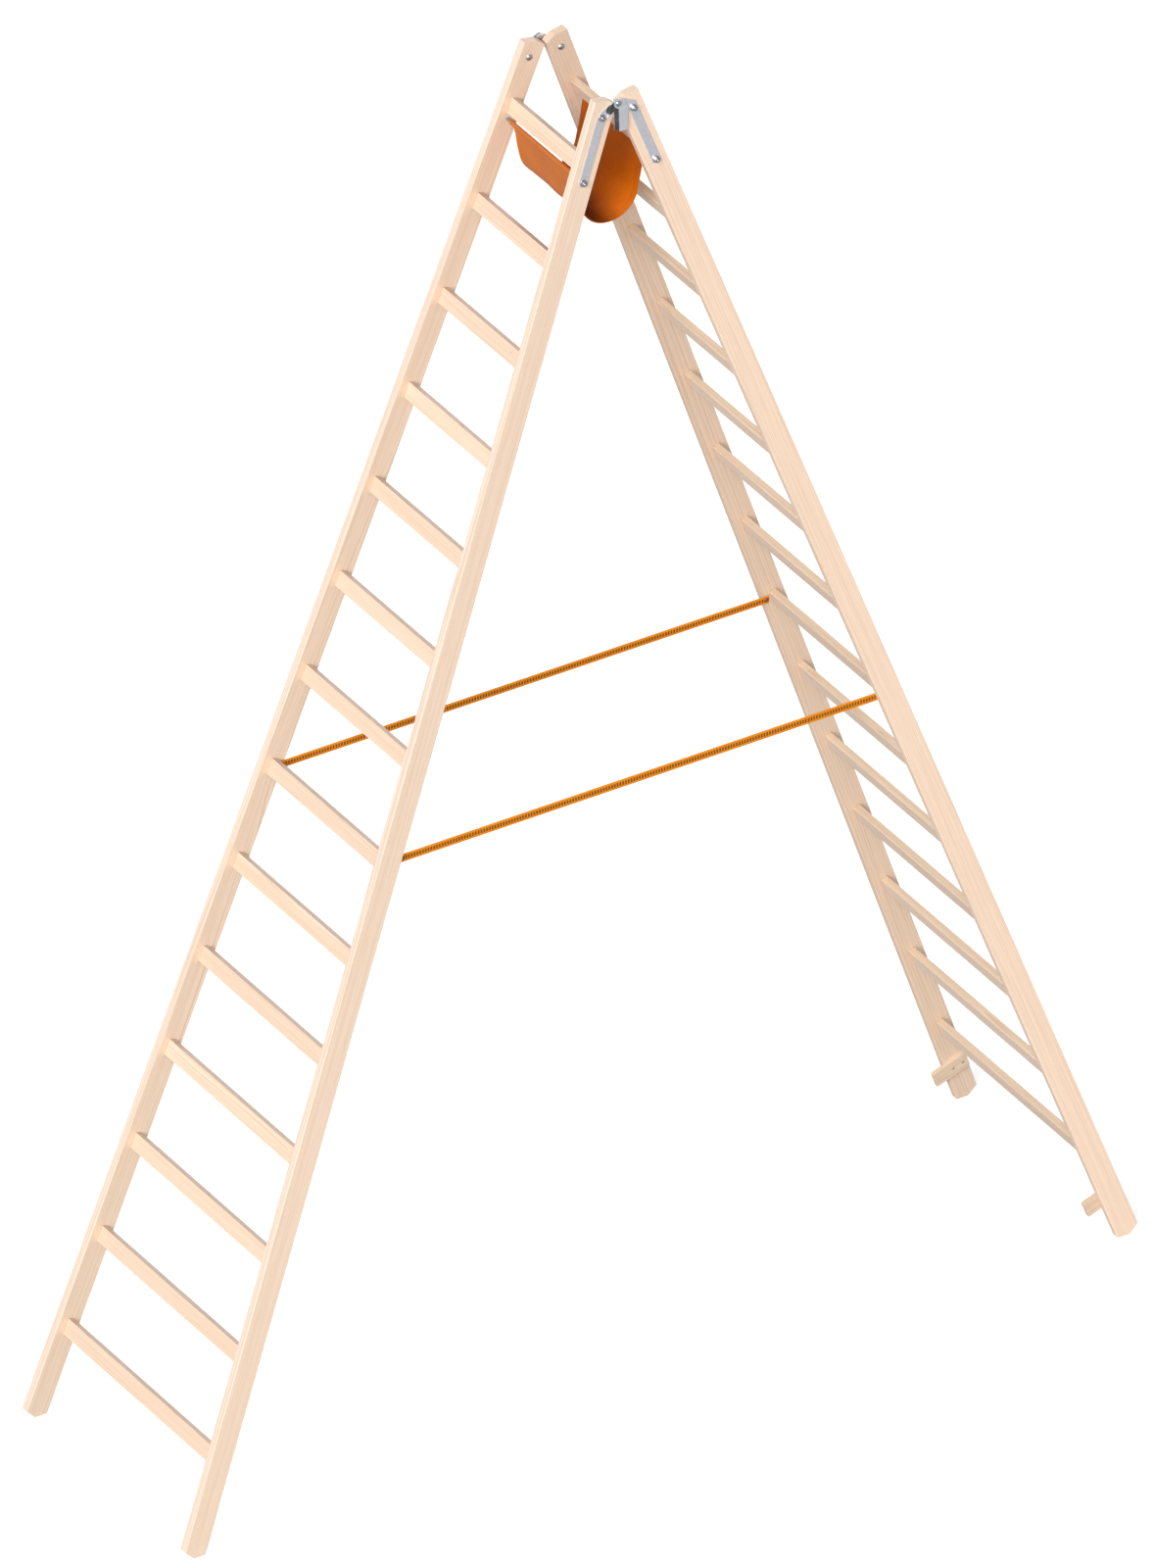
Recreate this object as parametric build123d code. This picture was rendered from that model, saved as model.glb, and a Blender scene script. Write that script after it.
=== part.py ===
import os
from math import acos, atan, atan2, cos, degrees, hypot, radians, sin, sqrt, tan

from build123d import *

# Wooden double ladder: two equal runged ladders hinged at the top, standing open on the floor.
# X runs along the rungs, the front ladder leans at -Y and the back ladder at +Y, +Z is up,
# and the origin is on the floor in the middle of the four feet. Millimetres and degrees.

# Stance of the open ladder
lean = 20
foot_width = 766.4
top_width = 346.5
fold_gap = 1.2
pivot_above_top = 3

# Stiles, measured along the ladder from the floor
stile_length = 3891
stile_depth = 63.5
stile_thickness = 23
stile_edge_radius = 1.8
top_rise = 7
top_ridge_depth = 37
top_inner_drop = 1.5
foot_flat = 33.5
toe_cut_angle = 45

# Rungs
rung_count = 14
first_rung = 272
top_rung_drop = 174
rung_height = 44
rung_depth = 19
rung_edge_radius = 2.5
mortise_depth = 14
mortise_clearance = 0.1

# Hinge leaves of flat steel
leaf_thickness = 2.5
leaf_width = 24
leaf_inset = 32.6
eye_radius = 12.5
hinge_bolt_drop = 39
inner_crank = 2.8
layer_gap = 1.9
joggle_run = 4
joggle_inset = 1.9
inner_tab_width = 12
inner_tab_length = 73
inner_tab_lap = 0.4
outer_tab_width = 24
outer_tab_length = 77
shoulder_radius = 9
wear_plate_thickness = 1
wear_plate_reach = 0.5
wear_plate_end_radius = 10
wear_plate_margin = 1.5

# Hinge rivets
pivot_radius = 5
pivot_running_clearance = 0.05
pivot_head_radius = 8
pivot_head_height = 4
pivot_inner_head_radius = 6.5
pivot_inner_head_height = 1.6
pivot_head_seat_gap = 0.1

# Carriage bolts, rods, washers and nuts
bolt_radius = 4
bolt_clearance = 0.2
bolt_head_radius = 9
bolt_head_height = 4.6
bolt_end_length = 3
washer_radius = 9
washer_thickness = 1.6
nut_width = 13
nut_height = 6.5
nut_corner_chamfer = 0.8
thread_clearance = 0.4

# Rods that carry the tool sling, under the top rungs
rod_below_rung = 15
rod_radius = 4

# Tool sling of coated cloth
sling_end_gap = 21.3
sling_thickness = 1.6
sling_drop = 169.5
sling_bottom_radius = 80
sling_hem_clearance = 0.4

# Webbing straps
strap_rung_number = 7
strap_above_rung = 8
strap_width = 22
strap_thickness = 2
strap_end_gap = 1
strap_stile_gap = 0.2

# Screws of the straps and of the guide blocks
screw_radius = 2.2
screw_clearance = 0.15
screw_head_radius = 4.2
screw_head_height = 2.6
screw_length = 14
screw_tip_radius = 0.5
screw_tip_length = 4.4
screw_recess_length = 5
screw_recess_width = 1.1
screw_recess_depth = 1.4
cup_washer_radius = 6.2
cup_washer_thickness = 1

# Guide blocks near the feet of the back ladder
guide_low = 112
guide_height = 45
guide_length = 101
guide_setback = 2
guide_thickness = 11
guide_relief = 0.8
guide_edge_radius = 2
guide_screw_inset = 16
guide_screw_length = 28

# Places that follow from these sizes
taper = degrees(atan((foot_width - top_width) / 2 / stile_length))
pivot_s = stile_length + pivot_above_top
pivot_d = stile_depth + fold_gap / 2
foot_reach = pivot_s * sin(radians(lean)) + pivot_d * cos(radians(lean))
pivot_z = pivot_s * cos(radians(lean)) - pivot_d * sin(radians(lean))
top_rung = stile_length - top_rung_drop
rung_pitch = (top_rung - first_rung) / (rung_count - 1)
rung_setback = (stile_depth - rung_depth) / 2
rod_s = top_rung - rung_height / 2 - rod_below_rung
leaf_centre_depth = stile_depth - leaf_inset
rod_d = leaf_centre_depth
hinge_bolt_s = stile_length - hinge_bolt_drop
outer_crank = inner_crank + leaf_thickness + layer_gap
reach = 4 * foot_width

# Frames: the leaning plane of the front ladder, and its right stile's outer face in that plane
front = Pos(0, -foot_reach, 0) * Rot(-lean, 0, 0)
on_stile = front * Pos(foot_width / 2, 0, 0) * Rot(0, -taper, 0)


def along(s):
    """Length on the tapering stile for a length measured up the middle of the ladder."""
    return s / cos(radians(taper))


def half_width(s):
    """Half of the outside width over the stiles, at s up the ladder."""
    return foot_width / 2 - s * tan(radians(taper))


def inner_half_width(s):
    """Half of the clear width between the stiles."""
    return half_width(s) - stile_thickness / cos(radians(taper))


def world_yz(s, d):
    """Place in the room of a point s up the front ladder and d in from its outer face."""
    y = s * sin(radians(lean)) + d * cos(radians(lean)) - foot_reach
    z = s * cos(radians(lean)) - d * sin(radians(lean))
    return y, z


def across(radius, s, d, length):
    """Round bar along X through a point of the front ladder, centred on the middle plane."""
    return front * Pos(0, d, s) * Rot(0, 90, 0) * Cylinder(radius, length)


def stile_bar(radius, s, d, low, high):
    """Round bar square to the stile, from low to high measured outward from its outer face."""
    bar = Cylinder(radius, high - low, align=(Align.CENTER, Align.CENTER, Align.MIN))
    return on_stile * Pos(low, d, along(s)) * Rot(0, 90, 0) * bar


def block(x, y, z):
    """Box between pairs of limits."""
    box = Box(x[1] - x[0], y[1] - y[0], z[1] - z[0], align=Align.MIN)
    return Pos(x[0], y[0], z[0]) * box


def plate(outline, low, high):
    """Sheet on the stile's outer face, from an outline drawn in depth and length."""
    return on_stile * Pos(low, 0, 0) * extrude(Plane.YZ * outline, high - low, dir=(1, 0, 0))


def disc_at(s, d, radius):
    """Round outline at a point of the stile's side."""
    return Pos(d, along(s)) * Circle(radius)


def hull_of(*outlines):
    """Outline drawn tightly round several outlines."""
    edges = [edge for outline in outlines for edge in outline.edges()]
    return make_hull(edges)


def rung_s(number):
    """Place of a rung's middle up the ladder, counted from the floor."""
    return first_rung + (number - 1) * rung_pitch


def rung_bar(number, growth, end_growth):
    """Rung with rounded edges, grown by a clearance where it cuts its mortises."""
    s = rung_s(number)
    length = 2 * (inner_half_width(s) + mortise_depth + end_growth)
    bar = Box(length, rung_depth + 2 * growth, rung_height + 2 * growth)
    bar = fillet(bar.edges().filter_by(Axis.X), rung_edge_radius + growth)
    return front * Pos(0, rung_setback + rung_depth / 2, s) * bar


def nut_on(frame, bore_radius):
    """Hexagon nut standing on the XY plane of a frame, with turned-off corners."""
    corner_radius = nut_width / sqrt(3)
    hexagon = extrude(RegularPolygon(corner_radius, 6), nut_height, dir=(0, 0, 1))
    turned = Cylinder(corner_radius, nut_height, align=(Align.CENTER, Align.CENTER, Align.MIN))
    turned = chamfer(turned.edges().filter_by(GeomType.CIRCLE), nut_corner_chamfer)
    return frame * ((hexagon & turned) - Cylinder(bore_radius, reach))


def washer_on(frame, bore_radius, radius, thickness):
    """Flat washer standing on the XY plane of a frame."""
    ring = Cylinder(radius, thickness, align=(Align.CENTER, Align.CENTER, Align.MIN))
    ring = fillet(ring.edges().filter_by(GeomType.CIRCLE), thickness / 4)
    return frame * (ring - Cylinder(bore_radius, reach))


def domed(radius, height):
    """Low dome standing on the XY plane."""
    sphere_radius = (radius**2 + height**2) / (2 * height)
    ball = Pos(0, 0, height - sphere_radius) * Sphere(sphere_radius)
    room = Cylinder(2 * radius, height, align=(Align.CENTER, Align.CENTER, Align.MIN))
    return ball & room


def screw(frame, length):
    """Round-headed cross-recess screw: the seat of its head is the XY plane, its tip points down."""
    shank_align = (Align.CENTER, Align.CENTER, Align.MAX)
    shank = Cylinder(screw_radius, length - screw_tip_length, align=shank_align)
    tip = Cone(screw_tip_radius, screw_radius, screw_tip_length, align=shank_align)
    tip = Pos(0, 0, screw_tip_length - length) * tip
    arm = Box(screw_recess_length, screw_recess_width, 2 * screw_recess_depth)
    recess = Pos(0, 0, screw_head_height) * (arm + Rot(0, 0, 90) * arm)
    return frame * (domed(screw_head_radius, screw_head_height) + shank + tip - recess)


def stile():
    """Right front stile: tapered apart from its partner, sawn level at the foot and ridged at the top."""
    outline = Polygon(
        (0, -stile_depth),
        (0, along(stile_length)),
        (top_ridge_depth, along(stile_length + top_rise)),
        (stile_depth, along(stile_length - top_inner_drop)),
        (stile_depth, -stile_depth),
        align=None,
    )
    bar = extrude(Plane.YZ * outline, stile_thickness, dir=(-1, 0, 0))
    bar = fillet(bar.edges().filter_by(Axis.Z), stile_edge_radius)
    bar = on_stile * bar
    inner_corner = stile_depth / cos(radians(lean)) - foot_reach
    heel = inner_corner - foot_flat
    bar -= block((-reach, reach), (-reach, reach), (-reach, 0))
    toe = Box(reach, stile_depth, 4 * stile_depth, align=(Align.CENTER, Align.MAX, Align.CENTER))
    bar -= Pos(0, heel, 0) * Rot(toe_cut_angle, 0, 0) * toe
    for number in range(1, rung_count + 1):
        bar -= rung_bar(number, mortise_clearance, mortise_clearance)
    bar -= across(rod_radius + bolt_clearance, rod_s, rod_d, reach)
    bar -= hinge_bolt_bar(bolt_radius + bolt_clearance)
    return bar


def hinge_bolt_bar(radius):
    """Run of the upper hinge bolt through stile and leaf."""
    return stile_bar(radius, hinge_bolt_s, leaf_centre_depth, -reach / 4, reach / 4)


def leaf_holes():
    """Holes of a hinge leaf: rivet, bolt and rod."""
    rivet = Pos(0, 0, pivot_z) * Rot(0, 90, 0) * Cylinder(pivot_radius + pivot_running_clearance, reach)
    rod = across(rod_radius + thread_clearance, rod_s, rod_d, reach)
    return rivet + rod + hinge_bolt_bar(bolt_radius + bolt_clearance)


def leaf_leg():
    """Outline of a leaf's long leg, round-ended at the rod."""
    return hull_of(bolt_end(), disc_at(rod_s, rod_d, leaf_width / 2))


def eye(margin=0):
    """Round outline of a leaf's eye, less a margin."""
    return disc_at(pivot_s, pivot_d, eye_radius - margin)


def bolt_end():
    """Round outline of a leaf at its bolt."""
    return disc_at(hinge_bolt_s, leaf_centre_depth, leaf_width / 2)


def tab(width, length, lap):
    """Hanging tab under the rivet that laps over the middle plane, as a block through all layers."""
    return block((0, reach), (lap - width, lap), (pivot_z - length, pivot_z))


def side_sheet(low, high):
    """Unbounded sheet in one layer of the hinge."""
    sheet = Pos(stile_depth / 2, along(pivot_s)) * Rectangle(8 * stile_depth, 12 * stile_depth)
    return plate(sheet, low, high)


def joggled(outline, hanging_tab, crank, low, high):
    """Sheet whose leg lies on the stile and whose eye is cranked outward, between two depths of its own."""
    room = crank + leaf_thickness + wear_plate_thickness
    sheet = plate(outline, 0, room)
    if hanging_tab is not None:
        sheet += hanging_tab & side_sheet(0, room)
    start = leaf_centre_depth + leaf_width / 2 + joggle_inset
    slope = atan2(crank, joggle_run)
    low_start = start - low * tan(slope / 2)
    high_start = start - high * tan(slope / 2)
    edge = 4 * stile_depth
    band = Polygon(
        (low, -edge),
        (low, low_start),
        (crank + low, low_start + joggle_run),
        (crank + low, edge),
        (crank + high, edge),
        (crank + high, high_start + joggle_run),
        (high, high_start),
        (high, -edge),
        align=None,
    )
    sheet &= on_stile * extrude(band, 2 * along(stile_length), dir=(0, 0, 1))
    return sheet - leaf_holes()


def inner_tab():
    """Hanging tab of the inner leaf and of its wear plate."""
    return tab(inner_tab_width, inner_tab_length, inner_tab_lap)


def outer_tab():
    """Hanging tab of the outer leaf."""
    return tab(outer_tab_width, outer_tab_length, 0)


def inner_leaf(hanging_tab=None):
    """Inner leaf on the right front stile, with a slight crank that clears the other leaf's leg."""
    outline = leaf_leg() + hull_of(eye(), bolt_end())
    return joggled(outline, hanging_tab, inner_crank, 0, leaf_thickness)


def wear_plate(hanging_tab=None):
    """Right wear plate, on the inner leaf and under the eye of the outer one."""
    end_s = pivot_s + (hinge_bolt_s - pivot_s) * wear_plate_reach
    end_d = pivot_d + (leaf_centre_depth - pivot_d) * wear_plate_reach
    outline = hull_of(eye(wear_plate_margin), disc_at(end_s, end_d, wear_plate_end_radius))
    top = leaf_thickness + wear_plate_thickness
    return joggled(outline, hanging_tab, inner_crank, leaf_thickness, top)


def outer_leaf(hanging_tab=None):
    """Outer leaf drawn on the right front stile: cranked outward so that its eye laps the inner one."""
    leg_edge = leaf_centre_depth - leaf_width / 2
    shoulder = disc_at(hinge_bolt_s + leaf_width / 2, leg_edge + shoulder_radius, shoulder_radius)
    outline = leaf_leg() + hull_of(eye(), shoulder, bolt_end())
    return joggled(outline, hanging_tab, outer_crank, 0, leaf_thickness)


def pivot():
    """Right hinge rivet: a shank along X with a dome at each end."""
    face = half_width(pivot_s)
    tilt = tan(radians(taper))
    inner = face + inner_crank - pivot_inner_head_radius * tilt - pivot_head_seat_gap
    outer = face + (outer_crank + leaf_thickness) / cos(radians(taper))
    outer += pivot_head_radius * tilt + pivot_head_seat_gap
    shank = Cylinder(pivot_radius, outer - inner, align=(Align.CENTER, Align.CENTER, Align.MIN))
    rivet = shank + Pos(0, 0, outer - inner) * domed(pivot_head_radius, pivot_head_height)
    rivet += Rot(180, 0, 0) * domed(pivot_inner_head_radius, pivot_inner_head_height)
    return Pos(inner, 0, pivot_z) * Rot(0, 90, 0) * rivet


def hinge_bolt():
    """Right carriage bolt: dome on the stile's inner face, end beyond the nut."""
    seat = Rot(0, -90, 0) * domed(bolt_head_radius, bolt_head_height)
    head = on_stile * Pos(-stile_thickness, leaf_centre_depth, along(hinge_bolt_s)) * seat
    end = leaf_thickness + washer_thickness + nut_height + bolt_end_length
    return head + stile_bar(bolt_radius, hinge_bolt_s, leaf_centre_depth, -stile_thickness, end)


def washer_and_nut(length, d, bore_radius):
    """Washer and nut on the outside of a leaf, at a length up the stile."""
    seat = on_stile * Pos(leaf_thickness, d, length) * Rot(0, 90, 0)
    top = seat * Pos(0, 0, washer_thickness)
    return [washer_on(seat, bore_radius, washer_radius, washer_thickness), nut_on(top, bore_radius)]


def rod():
    """Threaded-end rod through both front stiles and leaves."""
    end = leaf_thickness + washer_thickness + nut_height + bolt_end_length
    bar = across(rod_radius, rod_s, rod_d, 2 * (half_width(rod_s) + end))
    return chamfer(bar.edges().filter_by(GeomType.CIRCLE), rod_radius / 4)


def sling():
    """Open-ended trough of cloth, hemmed round both rods."""
    rod_y, rod_z = world_yz(rod_s, rod_d)
    rod_y = -rod_y
    hem_inside = rod_radius + sling_hem_clearance
    hem_middle = hem_inside + sling_thickness / 2
    centre_z = rod_z - sling_drop + sling_bottom_radius
    span = hypot(rod_y, rod_z - centre_z)
    turn = atan2(rod_z - centre_z, rod_y) - acos((sling_bottom_radius + hem_middle) / span)
    normal = Vector(cos(turn), sin(turn))
    foot = Vector(0, centre_z) + normal * sling_bottom_radius
    head = Vector(rod_y, rod_z) - normal * hem_middle
    half = normal * (sling_thickness / 2)
    wall = Polygon(*[tuple(p)[:2] for p in (foot - half, foot + half, head + half, head - half)], align=None)
    trough = Circle(sling_bottom_radius + sling_thickness / 2)
    trough -= Circle(sling_bottom_radius - sling_thickness / 2)
    above = Polygon(
        (0, 0),
        tuple(normal * (2 * sling_bottom_radius))[:2],
        (2 * sling_bottom_radius, 4 * sling_bottom_radius),
        (-2 * sling_bottom_radius, 4 * sling_bottom_radius),
        (-2 * normal.X * sling_bottom_radius, 2 * normal.Y * sling_bottom_radius),
        align=None,
    )
    trough = Pos(0, centre_z) * (trough - above)
    hem = Pos(rod_y, rod_z) * (Circle(hem_inside + sling_thickness) - Circle(hem_inside))
    side = wall + hem
    outline = trough + side + mirror(side, about=Plane.YZ)
    outline -= Pos(rod_y, rod_z) * Circle(hem_inside)
    outline -= Pos(-rod_y, rod_z) * Circle(hem_inside)
    half_length = inner_half_width(rod_s) - sling_end_gap
    return extrude(Plane.YZ * outline, half_length, dir=(1, 0, 0), both=True)


def strap_edge():
    """Place in the room where the strap crosses the inner edge of the front stile."""
    return world_yz(rung_s(strap_rung_number) + strap_above_rung, stile_depth)


def strap_frame():
    """Frame of the right strap: on the stile's inner face at the strap's middle height, X outward."""
    tilt = degrees(atan(tan(radians(taper)) * cos(radians(lean))))
    slack = strap_stile_gap + screw_head_radius * tan(radians(taper))
    face = inner_half_width(rung_s(strap_rung_number) + strap_above_rung)
    return Pos(face - slack, 0, strap_edge()[1]) * Rot(0, -tilt, 0)


def strap_end():
    """Half length of a strap: its square end stays clear of the leaning rung."""
    rung_face = world_yz(rung_s(strap_rung_number) + strap_above_rung, rung_setback + rung_depth)[0]
    return -rung_face - strap_width / 2 * tan(radians(lean)) - strap_end_gap


def strap_screw_seat():
    """Seat of the right front strap screw's washer, on the strap, pointing inward."""
    middle = (strap_edge()[0] - strap_end()) / 2
    return strap_frame() * Pos(-strap_thickness, middle, 0) * Rot(0, -90, 0)


def strap():
    """Right webbing strap, level and taut between the inner faces of the stiles."""
    middle = (Align.MAX, Align.CENTER, Align.CENTER)
    band = strap_frame() * Box(strap_thickness, 2 * strap_end(), strap_width, align=middle)
    hole = strap_screw_hole()
    return band - hole - to_back(hole)


def strap_screw_hole():
    """Pilot hole of the right front strap screw."""
    return screw_room(strap_screw_seat() * Pos(0, 0, cup_washer_thickness), screw_length)


def strap_screw():
    """Right front strap screw with its cup washer."""
    seat = strap_screw_seat()
    washer = washer_on(seat, screw_radius + screw_clearance, cup_washer_radius, cup_washer_thickness)
    return [washer, screw(seat * Pos(0, 0, cup_washer_thickness), screw_length)]


def screw_room(frame, length):
    """Pilot hole of a screw."""
    hole = Cylinder(screw_radius + screw_clearance, length, align=(Align.CENTER, Align.CENTER, Align.MAX))
    return frame * hole


def guide_block():
    """Right guide block, drawn on the front stile: its free end is set in to slide past the other stile."""
    low = along(guide_low)
    x = (-stile_thickness - guide_thickness, -stile_thickness)
    body = block(x, (guide_setback, guide_setback + guide_length), (low, low + guide_height))
    body = fillet(body.edges().filter_by(Axis.X), guide_edge_radius)
    free = (stile_depth, guide_setback + 2 * guide_length)
    body -= block((-stile_thickness - guide_relief, 0), free, (0, 2 * (low + guide_height)))
    body = on_stile * body
    for seat in guide_screw_frames():
        body -= screw_room(seat, guide_screw_length)
    return body


def guide_screw_frames():
    """Seats of the right guide block's screws."""
    middle = along(guide_low) + guide_height / 2
    inset = (guide_setback + guide_screw_inset, stile_depth - guide_screw_inset)
    face = -stile_thickness - guide_thickness
    return [on_stile * Pos(face, d, middle) * Rot(0, -90, 0) for d in inset]


def to_back(shape):
    """Same piece on the back ladder."""
    return mirror(shape, about=Plane.XZ)


def to_left(shape):
    """Same piece on the left side."""
    return mirror(shape, about=Plane.YZ)


def half_turned(shape):
    """Same piece on the opposite corner, turned half round about the upright middle."""
    return Rot(0, 0, 180) * shape


def write(name, shape):
    """One file for one piece, or for one group of like fasteners."""
    if isinstance(shape, list):
        shape = Compound(children=[Solid(each.solid().wrapped) for each in shape])
    export_step(shape, f"parts/{name}.step")


def write_pair(name, right):
    """Right piece and its mirror image on the left."""
    write(f"{name}_right", right)
    write(f"{name}_left", to_left(right))


os.makedirs("parts", exist_ok=True)

# Stiles
front_stile = stile() - strap_screw_hole()
back_stile = to_back(front_stile)
for seat in guide_screw_frames():
    back_stile -= to_back(screw_room(seat, guide_screw_length))
write_pair("front_stile", front_stile)
write_pair("back_stile", back_stile)

# Rungs
for number in range(1, rung_count + 1):
    rung = rung_bar(number, 0, 0)
    write(f"front_rung_{number:02d}", rung)
    write(f"back_rung_{number:02d}", to_back(rung))

# Hinges: the left one is turned half round, and only the right one has hanging tabs
write("front_hinge_leaf_right", inner_leaf(inner_tab()))
write("back_hinge_leaf_right", to_back(outer_leaf(outer_tab())))
write("front_hinge_leaf_left", half_turned(to_back(outer_leaf())))
write("back_hinge_leaf_left", half_turned(inner_leaf()))
write("hinge_wear_plate_right", wear_plate(inner_tab()))
write("hinge_wear_plate_left", half_turned(wear_plate()))
write("hinge_pivot_right", pivot())
write("hinge_pivot_left", half_turned(pivot()))
bolts = [hinge_bolt(), to_left(hinge_bolt())]
write("front_hinge_bolts", bolts)
write("back_hinge_bolts", [to_back(bolt) for bolt in bolts])
nuts = washer_and_nut(along(hinge_bolt_s), leaf_centre_depth, bolt_radius)
nuts += [to_left(nut) for nut in nuts]
write("front_hinge_nuts", nuts)
write("back_hinge_nuts", [to_back(nut) for nut in nuts])

# Sling with its rods
write("sling_rod_front", rod())
write("sling_rod_back", to_back(rod()))
nut_middle = leaf_thickness + (washer_thickness + nut_height) / 2
rod_nut_length = along(rod_s) - nut_middle * tan(radians(taper))
rod_nuts = washer_and_nut(rod_nut_length, rod_d, rod_radius + thread_clearance)
rod_nuts += [to_left(nut) for nut in rod_nuts]
write("front_rod_nuts", rod_nuts)
write("back_rod_nuts", [to_back(nut) for nut in rod_nuts])
write("tool_sling", sling())

# Straps
write_pair("spread_strap", strap())
screws = strap_screw()
screws += [to_left(each) for each in screws]
write("front_strap_screws", screws)
write("back_strap_screws", [to_back(each) for each in screws])

# Guide blocks
write_pair("guide_block", to_back(guide_block()))
guide_screws = [to_back(screw(seat, guide_screw_length)) for seat in guide_screw_frames()]
guide_screws += [to_left(each) for each in guide_screws]
write("guide_block_screws", guide_screws)

print("rivets at z", round(pivot_z, 2), "feet reach", round(foot_reach, 2))
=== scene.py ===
from math import acos, atan2, cos, hypot, pi, radians, sin

import bmesh
import bpy
import numpy as np
from mathutils import Matrix, Vector, noise


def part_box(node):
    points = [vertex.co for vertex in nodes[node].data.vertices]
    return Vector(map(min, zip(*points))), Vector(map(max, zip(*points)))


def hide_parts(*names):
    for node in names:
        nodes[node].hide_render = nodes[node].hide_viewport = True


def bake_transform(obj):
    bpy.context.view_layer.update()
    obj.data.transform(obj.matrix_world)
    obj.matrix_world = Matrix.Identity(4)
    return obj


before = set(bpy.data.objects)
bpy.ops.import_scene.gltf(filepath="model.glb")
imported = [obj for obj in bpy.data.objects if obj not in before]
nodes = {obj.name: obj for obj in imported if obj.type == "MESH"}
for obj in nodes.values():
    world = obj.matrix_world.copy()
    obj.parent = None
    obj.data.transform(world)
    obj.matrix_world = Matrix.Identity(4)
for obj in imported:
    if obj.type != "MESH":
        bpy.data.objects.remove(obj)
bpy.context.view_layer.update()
bpy.ops.object.select_all(action="DESELECT")

# Viewpoint
# The ladder is seen from its right, a little above the middle, from so far off that the
# perspective is nearly flat. The place and the lens frame a picture of 1176 by 1600.
view_aim = Vector((0, 0, 1.7859))
view_distance = 128
view_azimuth = radians(57.97691)
view_elevation = radians(32.74301)
view_roll = radians(-0.11258)
view_shift_right = 0.00986
view_shift_up = 0.17420
view_lens = 1202.33
view_ahead = Vector((-sin(view_azimuth) * cos(view_elevation),
                     cos(view_azimuth) * cos(view_elevation),
                     -sin(view_elevation)))
level = Vector((cos(view_azimuth), sin(view_azimuth), 0))
upright = level.cross(view_ahead)
view_right = level * cos(view_roll) + upright * sin(view_roll)
view_up = upright * cos(view_roll) - level * sin(view_roll)
view_from = view_aim - view_ahead * view_distance - view_right * view_shift_right - view_up * view_shift_up
view_axes = Matrix((view_right, view_up, -view_ahead)).transposed()
bpy.ops.object.camera_add(location=view_from, rotation=view_axes.to_euler())
camera = bpy.context.object
camera.name = "camera"
camera.data.sensor_width = 36
camera.data.lens = view_lens
camera.data.clip_start = 1
camera.data.clip_end = 10 * view_distance
bpy.context.scene.camera = camera

# Stiles
# Four long rails of planed softwood, 63.5 by 23 mm, each leaning in two ways, with its grain along its
# own length. Clear satin varnish. The wide sides are painted darker towards the head, and the left stiles
# darker all over, both as painted shade.
lean = radians(20)
foot_half_width = 0.3832
foot_reach = 1.39206
taper = radians(3.0886)
stile_thickness = 0.023
stile_depth = 0.0635
wood_pale = (0.905, 0.705, 0.550, 1)
wood_dark = (0.715, 0.510, 0.355, 1)
sawn_end_colour = (0.80, 0.60, 0.44, 1)
rubbed_edge_colour = (0.93, 0.80, 0.63, 1)
rubbed_edge_reach = 0.005
stile_ring_width = 0.0042
stile_grain_apart = 7.3
late_strength = 0.72
streak_strength = 0.26
fibre_strength = 0.34
vein_strength = 1.1
canal_strength = 0.10


def put(tree, kind, inputs=None, **settings):
    """Adds a shader node, sets it, and links or fills its inputs."""
    node = tree.nodes.new(kind)
    for key, value in settings.items():
        setattr(node, key, value)
    for key, value in (inputs or {}).items():
        if isinstance(value, bpy.types.NodeSocket):
            tree.links.new(value, node.inputs[key])
        else:
            node.inputs[key].default_value = value
    return node


def reckon(tree, operation, *values):
    """Output of one Math node."""
    return put(tree, "ShaderNodeMath", dict(enumerate(values)), operation=operation).outputs[0]


def reckon_vector(tree, operation, *values):
    """Output of one Vector Math node, which is its Value for a length or a dot product."""
    node = put(tree, "ShaderNodeVectorMath", dict(enumerate(values)), operation=operation)
    return node.outputs["Value" if operation in ("LENGTH", "DOT_PRODUCT") else "Vector"]


def fade(tree, value, start, end, low=0.0, high=1.0):
    """Smooth step of a value from low to high."""
    limits = {"Value": value, "From Min": start, "From Max": end, "To Min": low, "To Max": high}
    return put(tree, "ShaderNodeMapRange", limits, interpolation_type="SMOOTHSTEP").outputs["Result"]


def speckle(tree, place, scale, detail=2.0, roughness=0.5):
    """Noise in a space that is stretched by a scale along each axis."""
    stretched = reckon_vector(tree, "MULTIPLY", place, scale)
    inputs = {"Vector": stretched, "Scale": 1.0, "Detail": detail, "Roughness": roughness}
    return put(tree, "ShaderNodeTexNoise", inputs)


def blend_colours(tree, factor, first, second, blend_type="MIX"):
    """Output of one colour Mix node."""
    node = put(tree, "ShaderNodeMix", data_type="RGBA", blend_type=blend_type)
    for socket, value in ((node.inputs[0], factor), (node.inputs[6], first), (node.inputs[7], second)):
        if isinstance(value, bpy.types.NodeSocket):
            tree.links.new(value, socket)
        else:
            socket.default_value = value
    return node.outputs[2]


def new_group(name, takes, gives):
    """Empty shader node group with its sockets."""
    tree = bpy.data.node_groups.new(name, "ShaderNodeTree")
    for socket, kind in takes:
        tree.interface.new_socket(socket, in_out="INPUT", socket_type="NodeSocket" + kind)
    for socket, kind in gives:
        tree.interface.new_socket(socket, in_out="OUTPUT", socket_type="NodeSocket" + kind)
    return tree, tree.nodes.new("NodeGroupInput").outputs, tree.nodes.new("NodeGroupOutput").inputs


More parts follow.
